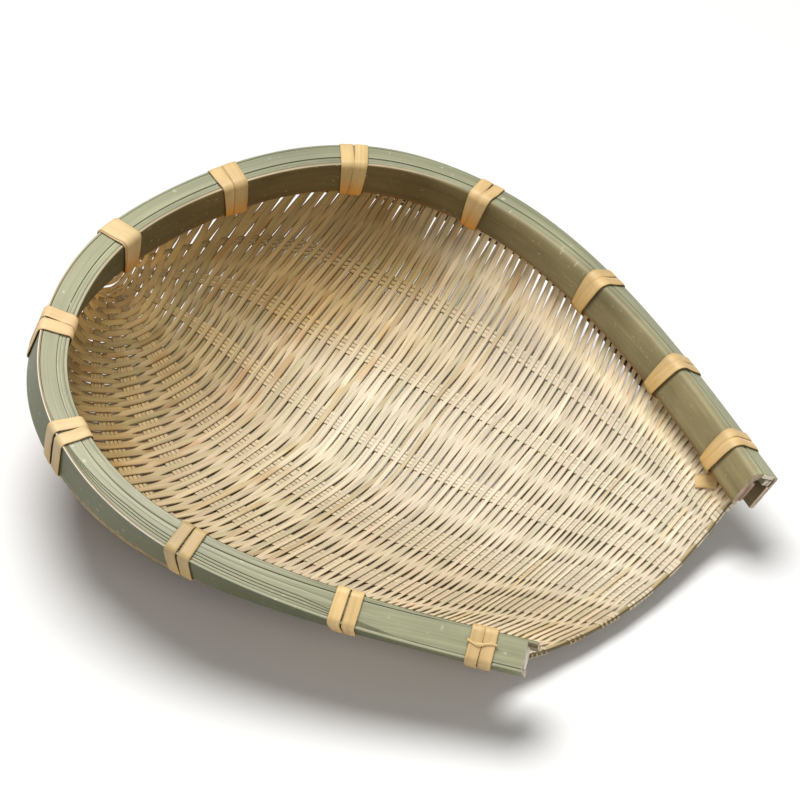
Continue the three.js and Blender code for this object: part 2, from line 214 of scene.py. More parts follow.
# ------------------------------------------------------------------ mesh pieces
class Piece:
    def __init__(self):
        self.v, self.f, self.tint, self.fib, self.count = [], [], [], [], 0

    def _add(self, pts, tint, fib, faces):
        self.v.append(pts)
        self.tint.append(np.broadcast_to(tint, pts.shape))
        self.fib.append(fib)
        self.f.extend([[i + self.count for i in f] for f in faces])
        self.count += len(pts)

    def sweep(self, rings, tint, fib, closed=False, ends=None):
        """rings (R, M, 3) joined in order. ends = (colour, unevenness) gives split, fibrous ends."""
        R, M, _ = rings.shape
        tint = np.broadcast_to(tint, rings.shape)
        g = np.random.default_rng(R * 1009 + M)
        # outward test on the first rings
        mid = rings.mean(1)
        last = R if closed else R - 1
        i = np.arange(last)[:, None]
        j = np.arange(M)[None]
        a = (i * M + j).ravel()
        b = (((i + 1) % R) * M + j).ravel()
        c = (((i + 1) % R) * M + (j + 1) % M).ravel()
        d = (i * M + (j + 1) % M).ravel()
        k = R // 2 if R // 2 < R - 1 else 0
        t = mid[(k + 1) % R] - mid[k]
        area = np.zeros(3)
        for m in range(M):
            area += np.cross(rings[k, m] - mid[k], rings[k, (m + 1) % M] - mid[k])
        flip = np.dot(area, t) < 0
        quads = np.stack([a, d, c, b] if not flip else [a, b, c, d], 1)
        pts, col, fb = rings.reshape(-1, 3), tint.reshape(-1, 3), fib.reshape(-1, 3)
        faces = quads.tolist()
        if not closed:
            if ends is None:
                lo, hi = list(range(M)), list(range((R - 1) * M, R * M))
                faces += [lo[::-1] if not flip else lo, hi if not flip else hi[::-1]]
            else:
                colour, rough = ends
                new_p, new_c, new_f = [], [], []
                n0 = R * M
                for side, r in ((-1, 0), (1, R - 1)):
                    ring = rings[r]
                    out = unit(mid[r] - mid[r + (1 if side < 0 else -1)])
                    prev = [r * M + m for m in range(M)]
                    for scale in (1.0, 0.88, 0.62, 0.3):
                        pos = mid[r] + (ring - mid[r]) * scale + out * (g.normal(size=(M, 1)) * rough * (scale < 1))
                        start = n0 + len(new_p)
                        new_p += list(pos)
                        shade = 1 + 0.22 * g.normal(size=(M, 1))
                        new_c += list(np.clip(colour * shade, 0.01, 1))
                        new_f += list(np.tile(fb[r * M], (M, 1)))
                        cur = [start + m for m in range(M)]
                        for m in range(M if scale < 1 else 0):
                            q = [prev[m], prev[(m + 1) % M], cur[(m + 1) % M], cur[m]]
                            faces.append(q if (side > 0) != flip else q[::-1])
                        prev = cur
                    centre_i = n0 + len(new_p)
                    new_p.append(mid[r] + out * rough * 0.5)
                    new_c.append(colour)
                    new_f.append(fb[r * M])
                    for m in range(M):
                        q = [prev[m], prev[(m + 1) % M], centre_i]
                        faces.append(q if (side > 0) != flip else q[::-1])
                pts = np.concatenate([pts, np.array(new_p)])
                col = np.concatenate([col, np.array(new_c)])
                fb = np.concatenate([fb, np.array(new_f)])
        self._add(pts, col, fb, faces)

    def build(self, name, material, nodes, slot):
        me = bpy.data.meshes.new(name)
        pts = (np.concatenate(self.v) + SHIFT) / 1000
        me.from_pydata(pts.tolist(), [], self.f)
        me.polygons.foreach_set("use_smooth", np.ones(len(me.polygons), bool))
        tint = me.attributes.new("tint", "FLOAT_COLOR", "POINT")
        rgba = np.concatenate([np.concatenate(self.tint), np.ones((self.count, 1))], 1)
        tint.data.foreach_set("color", rgba.astype(np.float32).ravel())
        fib = me.attributes.new("fibre", "FLOAT_VECTOR", "POINT")
        fib.data.foreach_set("vector", np.concatenate(self.fib).astype(np.float32).ravel())
        me.update()
        ob = bpy.data.objects.new(name, me)
        bpy.context.scene.collection.objects.link(ob)
        me.materials.append(material)
        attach(ob, "root")
        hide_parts(*nodes)
        return ob


def fibre_of(s, w, ident):
    """Coordinates along and across the fibre (mm), with a number for the strip."""
    s, w = np.broadcast_arrays(np.asarray(s, float), np.asarray(w, float))
    return np.stack([s, w, np.full(s.shape, float(ident))], -1)


def ribbon(piece, path, up, width, thick, tint, ident, crown=0.07, ends=None):
    """A flat split strip along path: up is its face direction, width and thick per point; painted shade darkens its
    sides and underside.
    """
    n = len(path)
    width, thick = np.broadcast_to(width, n)[:, None], np.broadcast_to(thick, n)[:, None]
    t = unit(np.gradient(path, axis=0))
    side = unit(np.cross(up, t))
    up = unit(np.cross(t, side))
    x = np.array([-0.5, -0.5, -0.44, -0.22, 0.22, 0.44, 0.5, 0.5, 0.44, -0.44])
    y = np.array([-0.26, 0.22, 0.47, 0.5 + crown, 0.5 + crown, 0.47, 0.22, -0.26, -0.5, -0.5])
    p, q = x[None] * width, y[None] * thick
    rings = path[:, None] + side[:, None] * p[..., None] + up[:, None] * q[..., None]
    s = np.concatenate([[0], np.cumsum(np.linalg.norm(np.diff(path, axis=0), axis=1))])
    across = np.where(y[None] > -0.3, x[None], x[None] + 1.3) * width
    tint = np.broadcast_to(tint, (n, 3))[:, None] * np.ones((1, 10, 1))
    # painted shade: each strip darker and browner down its sides and underneath
    edge = np.array([0.9, 0.45, 0.06, -0.02, -0.02, 0.06, 0.45, 0.9, 0.8, 0.8])[:, None] * np.array([0.24, 0.33, 0.50])
    piece.sweep(rings, tint * (1 - edge[None]), fibre_of(s[:, None] + ident * 0.37, across, ident), ends=ends)


# -------------------------------------------------------------------- materials
def material(name, along, across, streak, rough, bump, specks=None, specular=0.35, mottle=0.10, stain=None):
    """Bamboo: colour from the strip's tint, with painted light and shade in places, broken up by fibre streaks, soft
    mottling and specks.
    """
    m = bpy.data.materials.new(name)
    m.use_nodes = True
    nt = m.node_tree
    nt.nodes.clear()
    N, Lk = nt.nodes.new, nt.links.new
    out, bsdf = N("ShaderNodeOutputMaterial"), N("ShaderNodeBsdfPrincipled")
    Lk(bsdf.outputs["BSDF"], out.inputs["Surface"])
    tint, fib = N("ShaderNodeAttribute"), N("ShaderNodeAttribute")
    tint.attribute_name, fib.attribute_name = "tint", "fibre"

    def scaled(sx, sy, sz):
        k = N("ShaderNodeVectorMath")
        k.operation = "MULTIPLY"
        Lk(fib.outputs["Vector"], k.inputs[0])
        k.inputs[1].default_value = (sx, sy, sz)
        return k.outputs["Vector"]

    def noise(vec, scale, detail, roughness=0.6):
        k = N("ShaderNodeTexNoise")
        k.inputs["Scale"].default_value = scale
        k.inputs["Detail"].default_value = detail
        k.inputs["Roughness"].default_value = roughness
        Lk(vec, k.inputs["Vector"])
        return k.outputs["Fac"]

    def ranged(val, a, b, c, d):
        k = N("ShaderNodeMapRange")
        Lk(val, k.inputs["Value"])
        for i, x in enumerate((a, b, c, d)):
            k.inputs[i + 1].default_value = x
        return k.outputs["Result"]

    def times(colour, fac):
        k = N("ShaderNodeVectorMath")
        k.operation = "SCALE"
        Lk(colour, k.inputs[0])
        Lk(fac, k.inputs["Scale"])
        return k.outputs["Vector"]

    def mix(fac, a, b):
        k = N("ShaderNodeMix")
        k.data_type = "RGBA"
        Lk(fac, k.inputs[0])
        Lk(a, k.inputs[6])
        if isinstance(b, (tuple, list)):
            k.inputs[7].default_value = (*b, 1)
        else:
            Lk(b, k.inputs[7])
        return k.outputs[2]

    fine = noise(scaled(along, across, 3.1), 1.0, 3.0)
    broad = noise(scaled(along * 0.35, across * 0.22, 1.7), 1.0, 2.0)
    soft = noise(scaled(0.03, 0.12, 0.9), 1.0, 3.0)
    colour = times(tint.outputs["Color"], ranged(fine, 0.3, 0.7, 1 - streak, 1 + 0.55 * streak))
    colour = times(colour, ranged(broad, 0.3, 0.7, 1 - 0.6 * streak, 1 + 0.4 * streak))
    colour = times(colour, ranged(soft, 0.3, 0.7, 1 - mottle, 1 + 0.7 * mottle))
    if stain is not None:
        where = noise(scaled(0.05, 0.5, 2.3), 1.0, 3.0, 0.7)
        colour = mix(ranged(where, 0.60, 0.78, 0.0, stain[3]), colour, stain[:3])
    if specks is not None:
        dots = N("ShaderNodeTexVoronoi")
        dots.feature = "F1"
        dots.inputs["Scale"].default_value = 1.0
        Lk(scaled(specks[0] * 0.6, specks[0], 5.3), dots.inputs["Vector"])
        near = ranged(dots.outputs["Distance"], specks[1], specks[1] * 2.2, 1.0, 0.0)
        some = ranged(noise(scaled(0.21, 0.33, 1.1), 1.0, 2.0), 0.50, 0.62, 0.0, specks[2])
        both = N("ShaderNodeMath")
        both.operation = "MULTIPLY"
        Lk(near, both.inputs[0])
        Lk(some, both.inputs[1])
        colour = mix(both.outputs[0], colour, specks[3])
    Lk(colour, bsdf.inputs["Base Color"])
    Lk(ranged(broad, 0.3, 0.7, rough - 0.07, rough + 0.09), bsdf.inputs["Roughness"])
    bsdf.inputs["Specular IOR Level"].default_value = specular
    bp = N("ShaderNodeBump")
    bp.inputs["Strength"].default_value = bump
    bp.inputs["Distance"].default_value = 0.0002
    Lk(fine, bp.inputs["Height"])
    Lk(bp.outputs["Normal"], bsdf.inputs["Normal"])
    return m


MAT_WEFT = material("bamboo_strand", 0.035, 3.2, 0.20, 0.50, 0.35, stain=(0.45, 0.29, 0.13, 0.28))
MAT_WARP = material("bamboo_strip", 0.035, 3.0, 0.20, 0.55, 0.35, stain=(0.45, 0.28, 0.14, 0.3))
MAT_GREEN = material("bamboo_skin_green", 0.008, 1.7, 0.21, 0.44, 0.20, specks=(0.30, 0.10, 0.55, (0.62, 0.64, 0.50)), specular=0.26, mottle=0.07)
MAT_INNER = material("bamboo_skin_olive", 0.012, 1.6, 0.15, 0.48, 0.12, specks=(0.52, 0.11, 0.55, (0.46, 0.42, 0.26)), specular=0.28, mottle=0.20, stain=(0.15, 0.105, 0.045, 0.5))
MAT_CORE = material("bamboo_split_raw", 0.03, 2.4, 0.22, 0.65, 0.4)
MAT_BIND = material("bamboo_binding", 0.022, 2.4, 0.10, 0.47, 0.16, specular=0.34, mottle=0.14, stain=(0.40, 0.21, 0.06, 0.38))

# ------------------------------------------------------------------- rim strips
STEP = 1.6 / 385.0


def along_rim(u0, u1):
    return np.linspace(u0, u1, int((u1 - u0) / STEP) + 2)


def table(pairs):
    return lambda u: np.interp(u, [p[0] for p in pairs], [p[1] for p in pairs])


# where the strips meet across the top, from the inner hoop outward
E0 = table([(-1, -5.9), (-0.9, -5.6), (-0.8, -4.6), (-0.7, -3.6), (-0.6, -2.8), (-0.45, -1.7), (-0.3, -1.6), (-0.15, -2.0), (0, -1.8), (0.3, -1.6), (0.6, -1.7), (1, -1.9)])
COVER = table([(-1, 1), (-0.90, 1), (-0.84, 0.70), (-0.74, 0.0), (-0.52, 0.0), (-0.42, 0.55), (-0.30, 1), (1, 1)])
TOP_OUT = 5.5


def boundary(at):
    """Edge of a narrow strip, squeezed out to the side where the wide one covers the top."""
    return lambda u: at + (TOP_OUT - 0.25 * (TOP_OUT - at) / TOP_OUT - at) * np.minimum(COVER(u) / 0.8, 1)


E1, E2, E3 = boundary(1.6), boundary(2.9), boundary(4.2)
LINES = table([(-1, 0.0), (-0.90, 0.05), (-0.82, 0.45), (-0.72, 0.9), (-0.52, 0.9), (-0.40, 0.4), (-0.25, 0.1), (0.1, 0.05), (1, 0.03)])
# painted shade on the outer side face of the outer hoop, along the rim
SHADE = table([(-1, 0.76), (-0.8, 0.55), (-0.6, 0.48), (-0.45, 0.51), (-0.3, 0.50), (1, 0.68)])
# painted light and shade along the rim's strips: darkest at the back, lightest toward the cut ends
RIM_LIGHT_AND_SHADE = table([(-1, 0.95), (-0.87, 0.94), (-0.7, 0.84), (-0.5, 0.85), (-0.31, 0.89), (-0.12, 0.93), (0.04, 0.79), (0.19, 0.58), (0.36, 0.67), (0.6, 0.74), (0.74, 0.77), (1, 0.90)])
SAGE, SAGE_PALE, SAGE_GREY = lin(165, 165, 133), lin(171, 170, 141), lin(152, 152, 121)
FLESH_WHITE, FLESH_PINK, FLESH_STRAW = lin(226, 216, 194), lin(170, 153, 124), lin(200, 178, 136)
# inner face of the inner hoop: a shaded olive for the back and near arm and a lit olive for the far arm, painted shade
# and painted light
OLIVE_SHADED, OLIVE_LIT = lin(117, 99, 58), lin(134, 122, 87)
END_GRAIN = lin(196, 174, 150)


def sage(u, base, seed):
    """Green skin: greyer toward the cut ends, paler round the left, uneven along its length, with painted light and
    shade along the rim.
    """
    s = np.asarray(u) * 385
    k = 1 + wobble(s, seed, 90, 0.03)
    pale = smooth(-np.abs(u + 0.4), -0.45, -0.1)[:, None]
    grey = smooth(-u, 0.68, 0.97)[:, None] * 0.8
    c = base * (1 - pale) + SAGE_PALE * pale
    c = c * (1 - grey) + SAGE_GREY * grey
    return c * (k * RIM_LIGHT_AND_SHADE(u))[:, None]


def columns(n):
    """Collects a profile column by column, each the same or changing along the rim."""
    ps, qs, kind = [], [], []

    def col(p, q, k):
        ps.append(np.broadcast_to(p, n).astype(float))
        qs.append(np.broadcast_to(q, n).astype(float))
        kind.append(k)

    return col, ps, qs, kind


def slanted(rings, sec, Q):
    """The near end is cut a little askew, longer below."""
    rings[0] -= sec.t[0] * ((HALF_H - Q[0]) * 0.09)[:, None]
    return rings


def outer_hoop():
    u = along_rim(-1, 1)
    sec, s, n = Section(u), (u + 1) * 385, len(u)
    col, ps, qs, kind = columns(n)
    far = smooth(u, 0.3, 0.55)
    rr = 0.28 + 0.62 * far                     # rounding of the outer top edge
    col(4.3, -8.9, 0)
    col(4.55, -9.15, 1)
    col(6.2, -9.15, 1)
    for f in np.linspace(0, 1, 9):
        q = -8.8 + (9.15 - rr + 8.8) * f
        col(6.7 + 0.12 * (1 - (q / 9) ** 2), q, 1)
    for ang in (35, 65, 90):
        col(6.75 - rr + rr * math.cos(math.radians(ang)), 9.15 - rr + rr * math.sin(math.radians(ang)), 2)
    col(6.75 - rr - 0.10, 9.15, 2)
    col(np.maximum(6.75 - rr - 0.22, TOP_OUT + 0.2), 9.13, 3)
    col(TOP_OUT + 0.06, 9.12, 3)
    col(TOP_OUT + 0.02, 9.0, 3)
    col(TOP_OUT + 0.03, 3.5, 0)
    col(4.3, 3.3, 0)
    P, Q = np.stack(ps, 1), np.stack(qs, 1)
    P[:, :-2] += wobble(s, 3, 120, 0.03)[:, None]
    rings = slanted(sec.ring(P, Q), sec, Q)
    tint = np.zeros(rings.shape)
    # the outer side face: painted shade, darker and greener than the top
    skin = sage(u, lin(127, 134, 110), 31) * SHADE(u)[:, None]
    skin = skin * (np.array([0.86, 0.88, 0.64]) + 0.04 * smooth(u, -0.42, -0.30)[:, None])
    white = (smooth(u, -0.66, -0.52) * (1 - smooth(u, -0.14, 0.0)))[:, None]
    pink = (smooth(u, -0.66, -0.50) * (1 - smooth(u, -0.20, -0.02)))[:, None]
    top = sage(u, SAGE, 32)
    for j, k in enumerate(kind):
        if k == 0:
            # faces hidden between the strips: straw flesh darkened, painted shade
            tint[:, j] = FLESH_STRAW * 0.4
        elif k == 1:
            tint[:, j] = skin
        elif k == 2:
            tint[:, j] = FLESH_WHITE * (1 + wobble(s, 35, 30, 0.06)[:, None]) * white + top * (1 - white)
        else:
            tint[:, j] = FLESH_PINK * (1 + wobble(s, 33, 40, 0.05)[:, None]) * pink + top * (1 - pink)
    arc = np.concatenate([[0], np.cumsum(np.hypot(np.diff(P[n // 2]), np.diff(Q[n // 2])))])
    pc = Piece()
    pc.sweep(rings, tint, fibre_of(s[:, None], arc[None], 1), ends=(END_GRAIN, 0.16))
    return pc.build("outer_hoop_strip", MAT_GREEN, ["outer_hoop"], "rim_green")


def inner_hoop():
    u = along_rim(-1.010, 0.998)
    sec, s, n = Section(u), (u + 1) * 385, len(u)
    e0 = E0(u)
    far = smooth(u, 0.28, 0.62)                # on the far side the split keeps the round of the cane
    r = 0.55 + 2.6 * far
    bulge = 0.40 + 0.35 * far
    top = 8.85
    col, ps, qs, kind = columns(n)
    col(-4.6, -8.9, 0)
    col(-4.85, -9.15, 0)
    col(-6.25, -9.15, 2)
    for f in np.linspace(0, 1, 9):
        q = -8.8 + (top - r + 8.8) * f
        col(-6.72 - bulge * (1 - (q / 9.3) ** 2) + 0.25 * (f == 0), q, 1)
    edge_q = top - r
    edge_p = -6.72 - bulge * (1 - (edge_q / 9.3) ** 2)
    arc_to = -6.72 + r
    for ang in (15, 30, 45, 60, 75, 90):
        x, y = math.cos(math.radians(ang)), math.sin(math.radians(ang))
        col(edge_p + (arc_to - edge_p) * (1 - x), edge_q + r * y, 1 if ang < 70 else 4)
    groove = 0.04 + 0.9 * smooth(u, -0.55, -0.35) * (1 - 0.75 * smooth(u, 0.35, 0.6))
    right = e0 - 0.22
    span = np.maximum(right - arc_to, 0.5)
    for f, deep, k in ((0.26, 1.0, 5), (0.66, 0.3, 6)):
        g = arc_to + span * f
        wd = np.minimum(0.24, span * 0.14)
        col(g - wd, top, 4)
        col(g - wd * 0.2, top - (0.02 + 0.42 * groove) * deep, k)
        col(g + wd * 0.2, top - (0.02 + 0.42 * groove) * deep, k)
        col(g + wd, top, 4)
    right = np.maximum(right, arc_to + span)
    col(right - 0.1, top, 4)
    col(right, top - 0.15, 5)
    col(right, 3.45 + 2.9 * far, 0)
    col(-4.6 + 0.75 * far + np.minimum(0, right + 4.6) * 0.0, 3.3 + 1.6 * far, 0)
    col(-4.6 + 0.1 * far, 1.5, 0)
    P, Q = np.stack(ps, 1), np.stack(qs, 1)
    rings = slanted(sec.ring(P, Q), sec, Q)
    tint = np.zeros(rings.shape)
    tone = 1 + wobble(s, 41, 70, 0.05)
    fc = smooth(u, 0.32, 0.62)[:, None]
    near = smooth(-u, -0.10, 0.12)[:, None]
    # painted shade and light on the inner face: darker at the back, lighter along the far arm and most toward its end
    olive = (OLIVE_SHADED * (1 - near) + lin(106, 101, 66) * near) * (1 - fc) + OLIVE_LIT * fc
    olive = olive * (0.78 + 0.12 * fc + 0.18 * smooth(u, 0.80, 0.90)[:, None]) * tone[:, None]
    topc = sage(u, SAGE, 42)
    edge = FLESH_PINK * (1 + wobble(s, 43, 50, 0.08)[:, None])
    back = (smooth(u, -0.25, 0.0) * (1 - smooth(u, 0.30, 0.5)))[:, None]
    for j, k in enumerate(kind):
        if k == 0:
            # faces hidden between the strips: straw flesh darkened, painted shade
            tint[:, j] = FLESH_STRAW * 0.4
        elif k == 1:
            # painted light: the inner face lighter toward its top along the far arm
            rise = np.clip((Q[:, j : j + 1] - 2) / 7, 0, 1) ** 1.5 * fc * 0.45
            foot = smooth(-Q[:, j : j + 1], 7.6, 8.8) * 0.6
            tint[:, j] = (olive * (1 - rise) + lin(168, 163, 122) * rise) * (1 - foot) + lin(138, 100, 54) * foot
        elif k == 2:
            tint[:, j] = lin(150, 108, 58)
        elif k == 4:
            tint[:, j] = topc * 1.02
        else:
            # painted shade in the grooves along the top
            full = (0.55 - 0.4 * fc) * (0.25 + 0.75 * groove[:, None])
            tint[:, j] = topc * (1 - full * (0.35 if k == 6 else 1))
    i4 = [j for j, k in enumerate(kind) if k == 4][:3]
    for j in i4:
        tint[:, j] = edge * back + tint[:, j] * (1 - back)
    # painted highlight along the rounded top corner on the far side
    lit = smooth(u, 0.40, 0.6)[:, None] * 0.55
    tint[:, i4[1]] = tint[:, i4[1]] * (1 - lit) + lin(206, 202, 150) * lit
    arc = np.concatenate([[0], np.cumsum(np.hypot(np.diff(P[n // 2]), np.diff(Q[n // 2])))])
    pc = Piece()
    pc.sweep(rings, tint, fibre_of(s[:, None], arc[None], 2), ends=(END_GRAIN, 0.14))
    return pc.build("inner_hoop_strip", MAT_INNER, ["inner_hoop"], "rim_inner")


def filler(i, lo, hi, drop, r, base):
    u = along_rim(-0.9995 + 0.0004 * (i % 3), 0.9990 - 0.0008 * (i % 2))
    sec, s, n = Section(u), (u + 1) * 385, len(u)
    line, cover = LINES(u), COVER(u)
    under = smooth(cover, 0.80, 0.97)
    gap = 0.02 + 0.05 * np.minimum(line * 2, 1)
    a, b = lo(u) + gap, hi(u) - gap
    t = 9.15 - drop * line + wobble(s, 50 + i, 60, 0.02)
    base_q = np.full(n, 3.55)
    if i == 1:
        base_q = base_q + 3.2 * smooth(cover, 0.55, 0.8) - 14.6 * smooth(-u, 0.986, 0.992)
    else:
        # tucked below the wide strip
        t = t - 2.75 * under
        c, w = 0.5 * (a + b), 0.5 * (b - a)
        c = c * (1 - under) + (-1.6 + 1.75 * i) * 0.8 * under
        w = np.maximum(w, 0.1) * (1 - under) + 0.6 * under
        a, b = c - w, c + w
    rr = np.minimum(r * (0.25 + 0.75 * line), (b - a) * 0.42)
    P, Q = [], []
    for p, q in (
        (a, base_q), (a, t - rr), (a + 0.12 * rr, t - 0.55 * rr), (a + 0.42 * rr, t - 0.17 * rr), (a + rr, t),
        (a + 0.35 * (b - a), t + 0.02), (a + 0.48 * (b - a), t + 0.02), (a + 0.50 * (b - a), t - 0.10 * line), (a + 0.52 * (b - a), t + 0.02), (a + 0.65 * (b - a), t + 0.02),
        (b - rr, t), (b - 0.42 * rr, t - 0.17 * rr), (b - 0.12 * rr, t - 0.55 * rr), (b, t - rr), (b, base_q),
    ):
        P.append(np.broadcast_to(p, n)), Q.append(np.broadcast_to(q, n))
    P, Q = np.stack(P, 1), np.stack(Q, 1)
    rings = slanted(sec.ring(P, Q), sec, Q)
    # painted shade down the rounded sides and in the centre crease of each strip, where the strips meet
    seam_shade = np.array([0.46, 0.38, 0.22, 0.05, 0, -0.02, 0, 0.20 if i > 1 else 0.04, 0, -0.02, 0, 0.05, 0.22, 0.38, 0.46])[None, :, None]
    tint = sage(u, base, 60 + i)[:, None] * (1 - seam_shade * (0.05 + 0.95 * line)[:, None, None])
    arc = np.linspace(0, 1, 15)[None] * (b - a + 8)[:, None]
    pc = Piece()
    pc.sweep(rings, tint, fibre_of(s[:, None], arc, 3 + i), ends=(lin(238, 226, 204) * (0.82 + 0.06 * i), 0.35))
    return pc.build(f"rim_filler_strip_{i}", MAT_GREEN, [f"rim_filler_{i}"], "rim_green")


def packing():
    u = along_rim(-0.994, 0.9975)
    sec, s, n = Section(u), (u + 1) * 385, len(u)
    p = np.array([-4.0, -4.05, -3.8, -2.3, -2.0, -2.05, -2.4, -3.7])
    q = np.array([-7.1, 2.8, 3.1, 3.1, 2.7, -7.1, -7.4, -7.4])
    P, Q = np.tile(p, (n, 1)) + wobble(s, 71, 50, 0.05)[:, None], np.tile(q, (n, 1)) + wobble(s, 72, 60, 0.1)[:, None]
    pc = Piece()
    arc = np.cumsum(np.hypot(np.diff(p, prepend=p[-1]), np.diff(q, prepend=q[-1])))
    pc.sweep(sec.ring(P, Q), lin(166, 138, 108), fibre_of(s[:, None], arc[None], 9), ends=(lin(172, 144, 120), 0.3))
    return pc.build("rim_packing_strip", MAT_CORE, ["rim_packing"], "rim_core")


outer_hoop()
inner_hoop()
filler(1, E0, E1, 0.0, 0.30, SAGE)
filler(2, E1, E2, 0.06, 0.30, SAGE)
filler(3, E2, E3, 0.12, 0.30, SAGE * 0.98)
filler(4, E3, lambda u: np.full(np.shape(u), TOP_OUT), 0.18, 0.30, SAGE * 1.01)
packing()

# --------------------------------------------------------------------- bindings
OCHRE, OCHRE_PALE = lin(217, 185, 128), lin(216, 187, 138)
TONES = [0.87, 0.98, 0.72, 0.97, 0.98, 0.91, 0.82, 0.85, 0.86, 0.80, 0.85, 0.90]


def loop_path(tau, round_out, round_in, bulge):
    """Round the rim once per unit of tau, from the middle of the underside, out, up, over and down inside."""
    c = 0.78
    x, top, bot = HALF_W + c, HALF_H + c, -HALF_H - c
    ro, ri, rb = round_out, round_in, 1.4
    pts = []

    def line(p, q, n):
        for f in np.linspace(0, 1, n, endpoint=False):
            pts.append((p[0] + (q[0] - p[0]) * f, p[1] + (q[1] - p[1]) * f))

    def arc(cx, cy, r, a0, a1, n):
        for f in np.linspace(0, 1, n, endpoint=False):
            w = math.radians(a0 + (a1 - a0) * f)
            pts.append((cx + r * math.cos(w), cy + r * math.sin(w)))

    line((0, bot), (x - rb, bot), 6)
    arc(x - rb, bot + rb, rb, -90, 0, 6)
    line((x, bot + rb), (x, top - ro), 12)
    arc(x - ro, top - ro, ro, 0, 90, 8)
    line((x - ro, top), (-x + ri, top), 10)
    arc(-x + ri, top - ri, ri, 90, 180, 10)
    line((-x, top - ri), (-x, bot + rb), 12)
    arc(-x + rb, bot + rb, rb, 180, 270, 6)
    line((-x + rb, bot), (0, bot), 6)
    pts.append((0, bot))
    pts = np.array(pts)
    pts[:, 0] -= np.where(pts[:, 0] < -4, bulge * np.clip(1 - (pts[:, 1] / 9.8) ** 2, 0, 1) * smooth(-pts[:, 0], 4.0, 6.5), 0)
    s = np.concatenate([[0], np.cumsum(np.hypot(*np.diff(pts, axis=0).T))])
    s /= s[-1]
    f = np.mod(tau, 1.0)
    return np.stack([np.interp(f, s, pts[:, 0]), np.interp(f, s, pts[:, 1])], -1)


# spread of the two turns (half, mm) at: underside, outer face, top, inner top edge, inner face, inner foot;
# then slant of the winding along the rim (mm) at the same places
TURNS = {
    1: ((2.4, 2.8, 2.75, 2.7, 2.4, 2.2), (0, 0.3, 0, 0, 0, 0), 5.5),
    2: ((2.4, 3.0, 3.05, 2.95, 2.7, 2.4), (0, 0.2, 0, 0, 0, 0), 5.5),
    3: ((2.4, 3.1, 3.1, 3.0, 2.7, 2.4), (0, 0.4, 0, -0.2, 0, 0), 5.6),
    4: ((2.9, 3.9, 3.45, 3.0, 2.6, 2.2), (0, 0.6, 0, 0, 0, 0), 6.4),
    5: ((2.8, 4.3, 3.7, 3.0, 2.5, 2.2), (0, -0.5, 0, 0.2, 0.2, 0), 7.3),
    6: ((0.3, 0.4, 0.3, 0.3, 0.3, 0.3), (0, 0, 0, 0.5, 1.7, 2.6), 12.2),
    7: ((2.6, 3.6, 3.3, 2.9, 2.3, 1.8), (0, 0, 0, 0.3, 0.3, 0.2), 7.2),
    8: ((2.4, 3.3, 3.4, 3.3, 2.6, 1.8), (0, 0, 0, -0.2, -0.5, -0.9), 6.6),
    9: ((1.6, 3.0, 3.1, 2.8, 1.9, 0.9), (0, 0, 0, -0.5, -1.5, -2.2), 5.9),
    10: ((1.6, 2.9, 3.0, 2.7, 1.8, 0.8), (0, 0, 0, -0.4, -1.2, -1.8), 5.7),
    11: ((1.6, 2.8, 2.9, 2.4, 1.6, 0.7), (0, 0, 0, -0.3, -1.0, -1.6), 5.6),
    12: ((1.6, 2.8, 2.95, 2.7, 2.0, 1.1), (0, 0, 0, -0.3, -1.0, -1.6), 5.4),
}
MOVED = {5: -0.0150, 6: -0.012}
TAPER = {6: (0.85, 1.0, 1.0, 0.95, 0.78, 0.62, 0.85)}
STATIONS = [0.0, 0.27, 0.5, 0.60, 0.78, 0.93, 1.0]


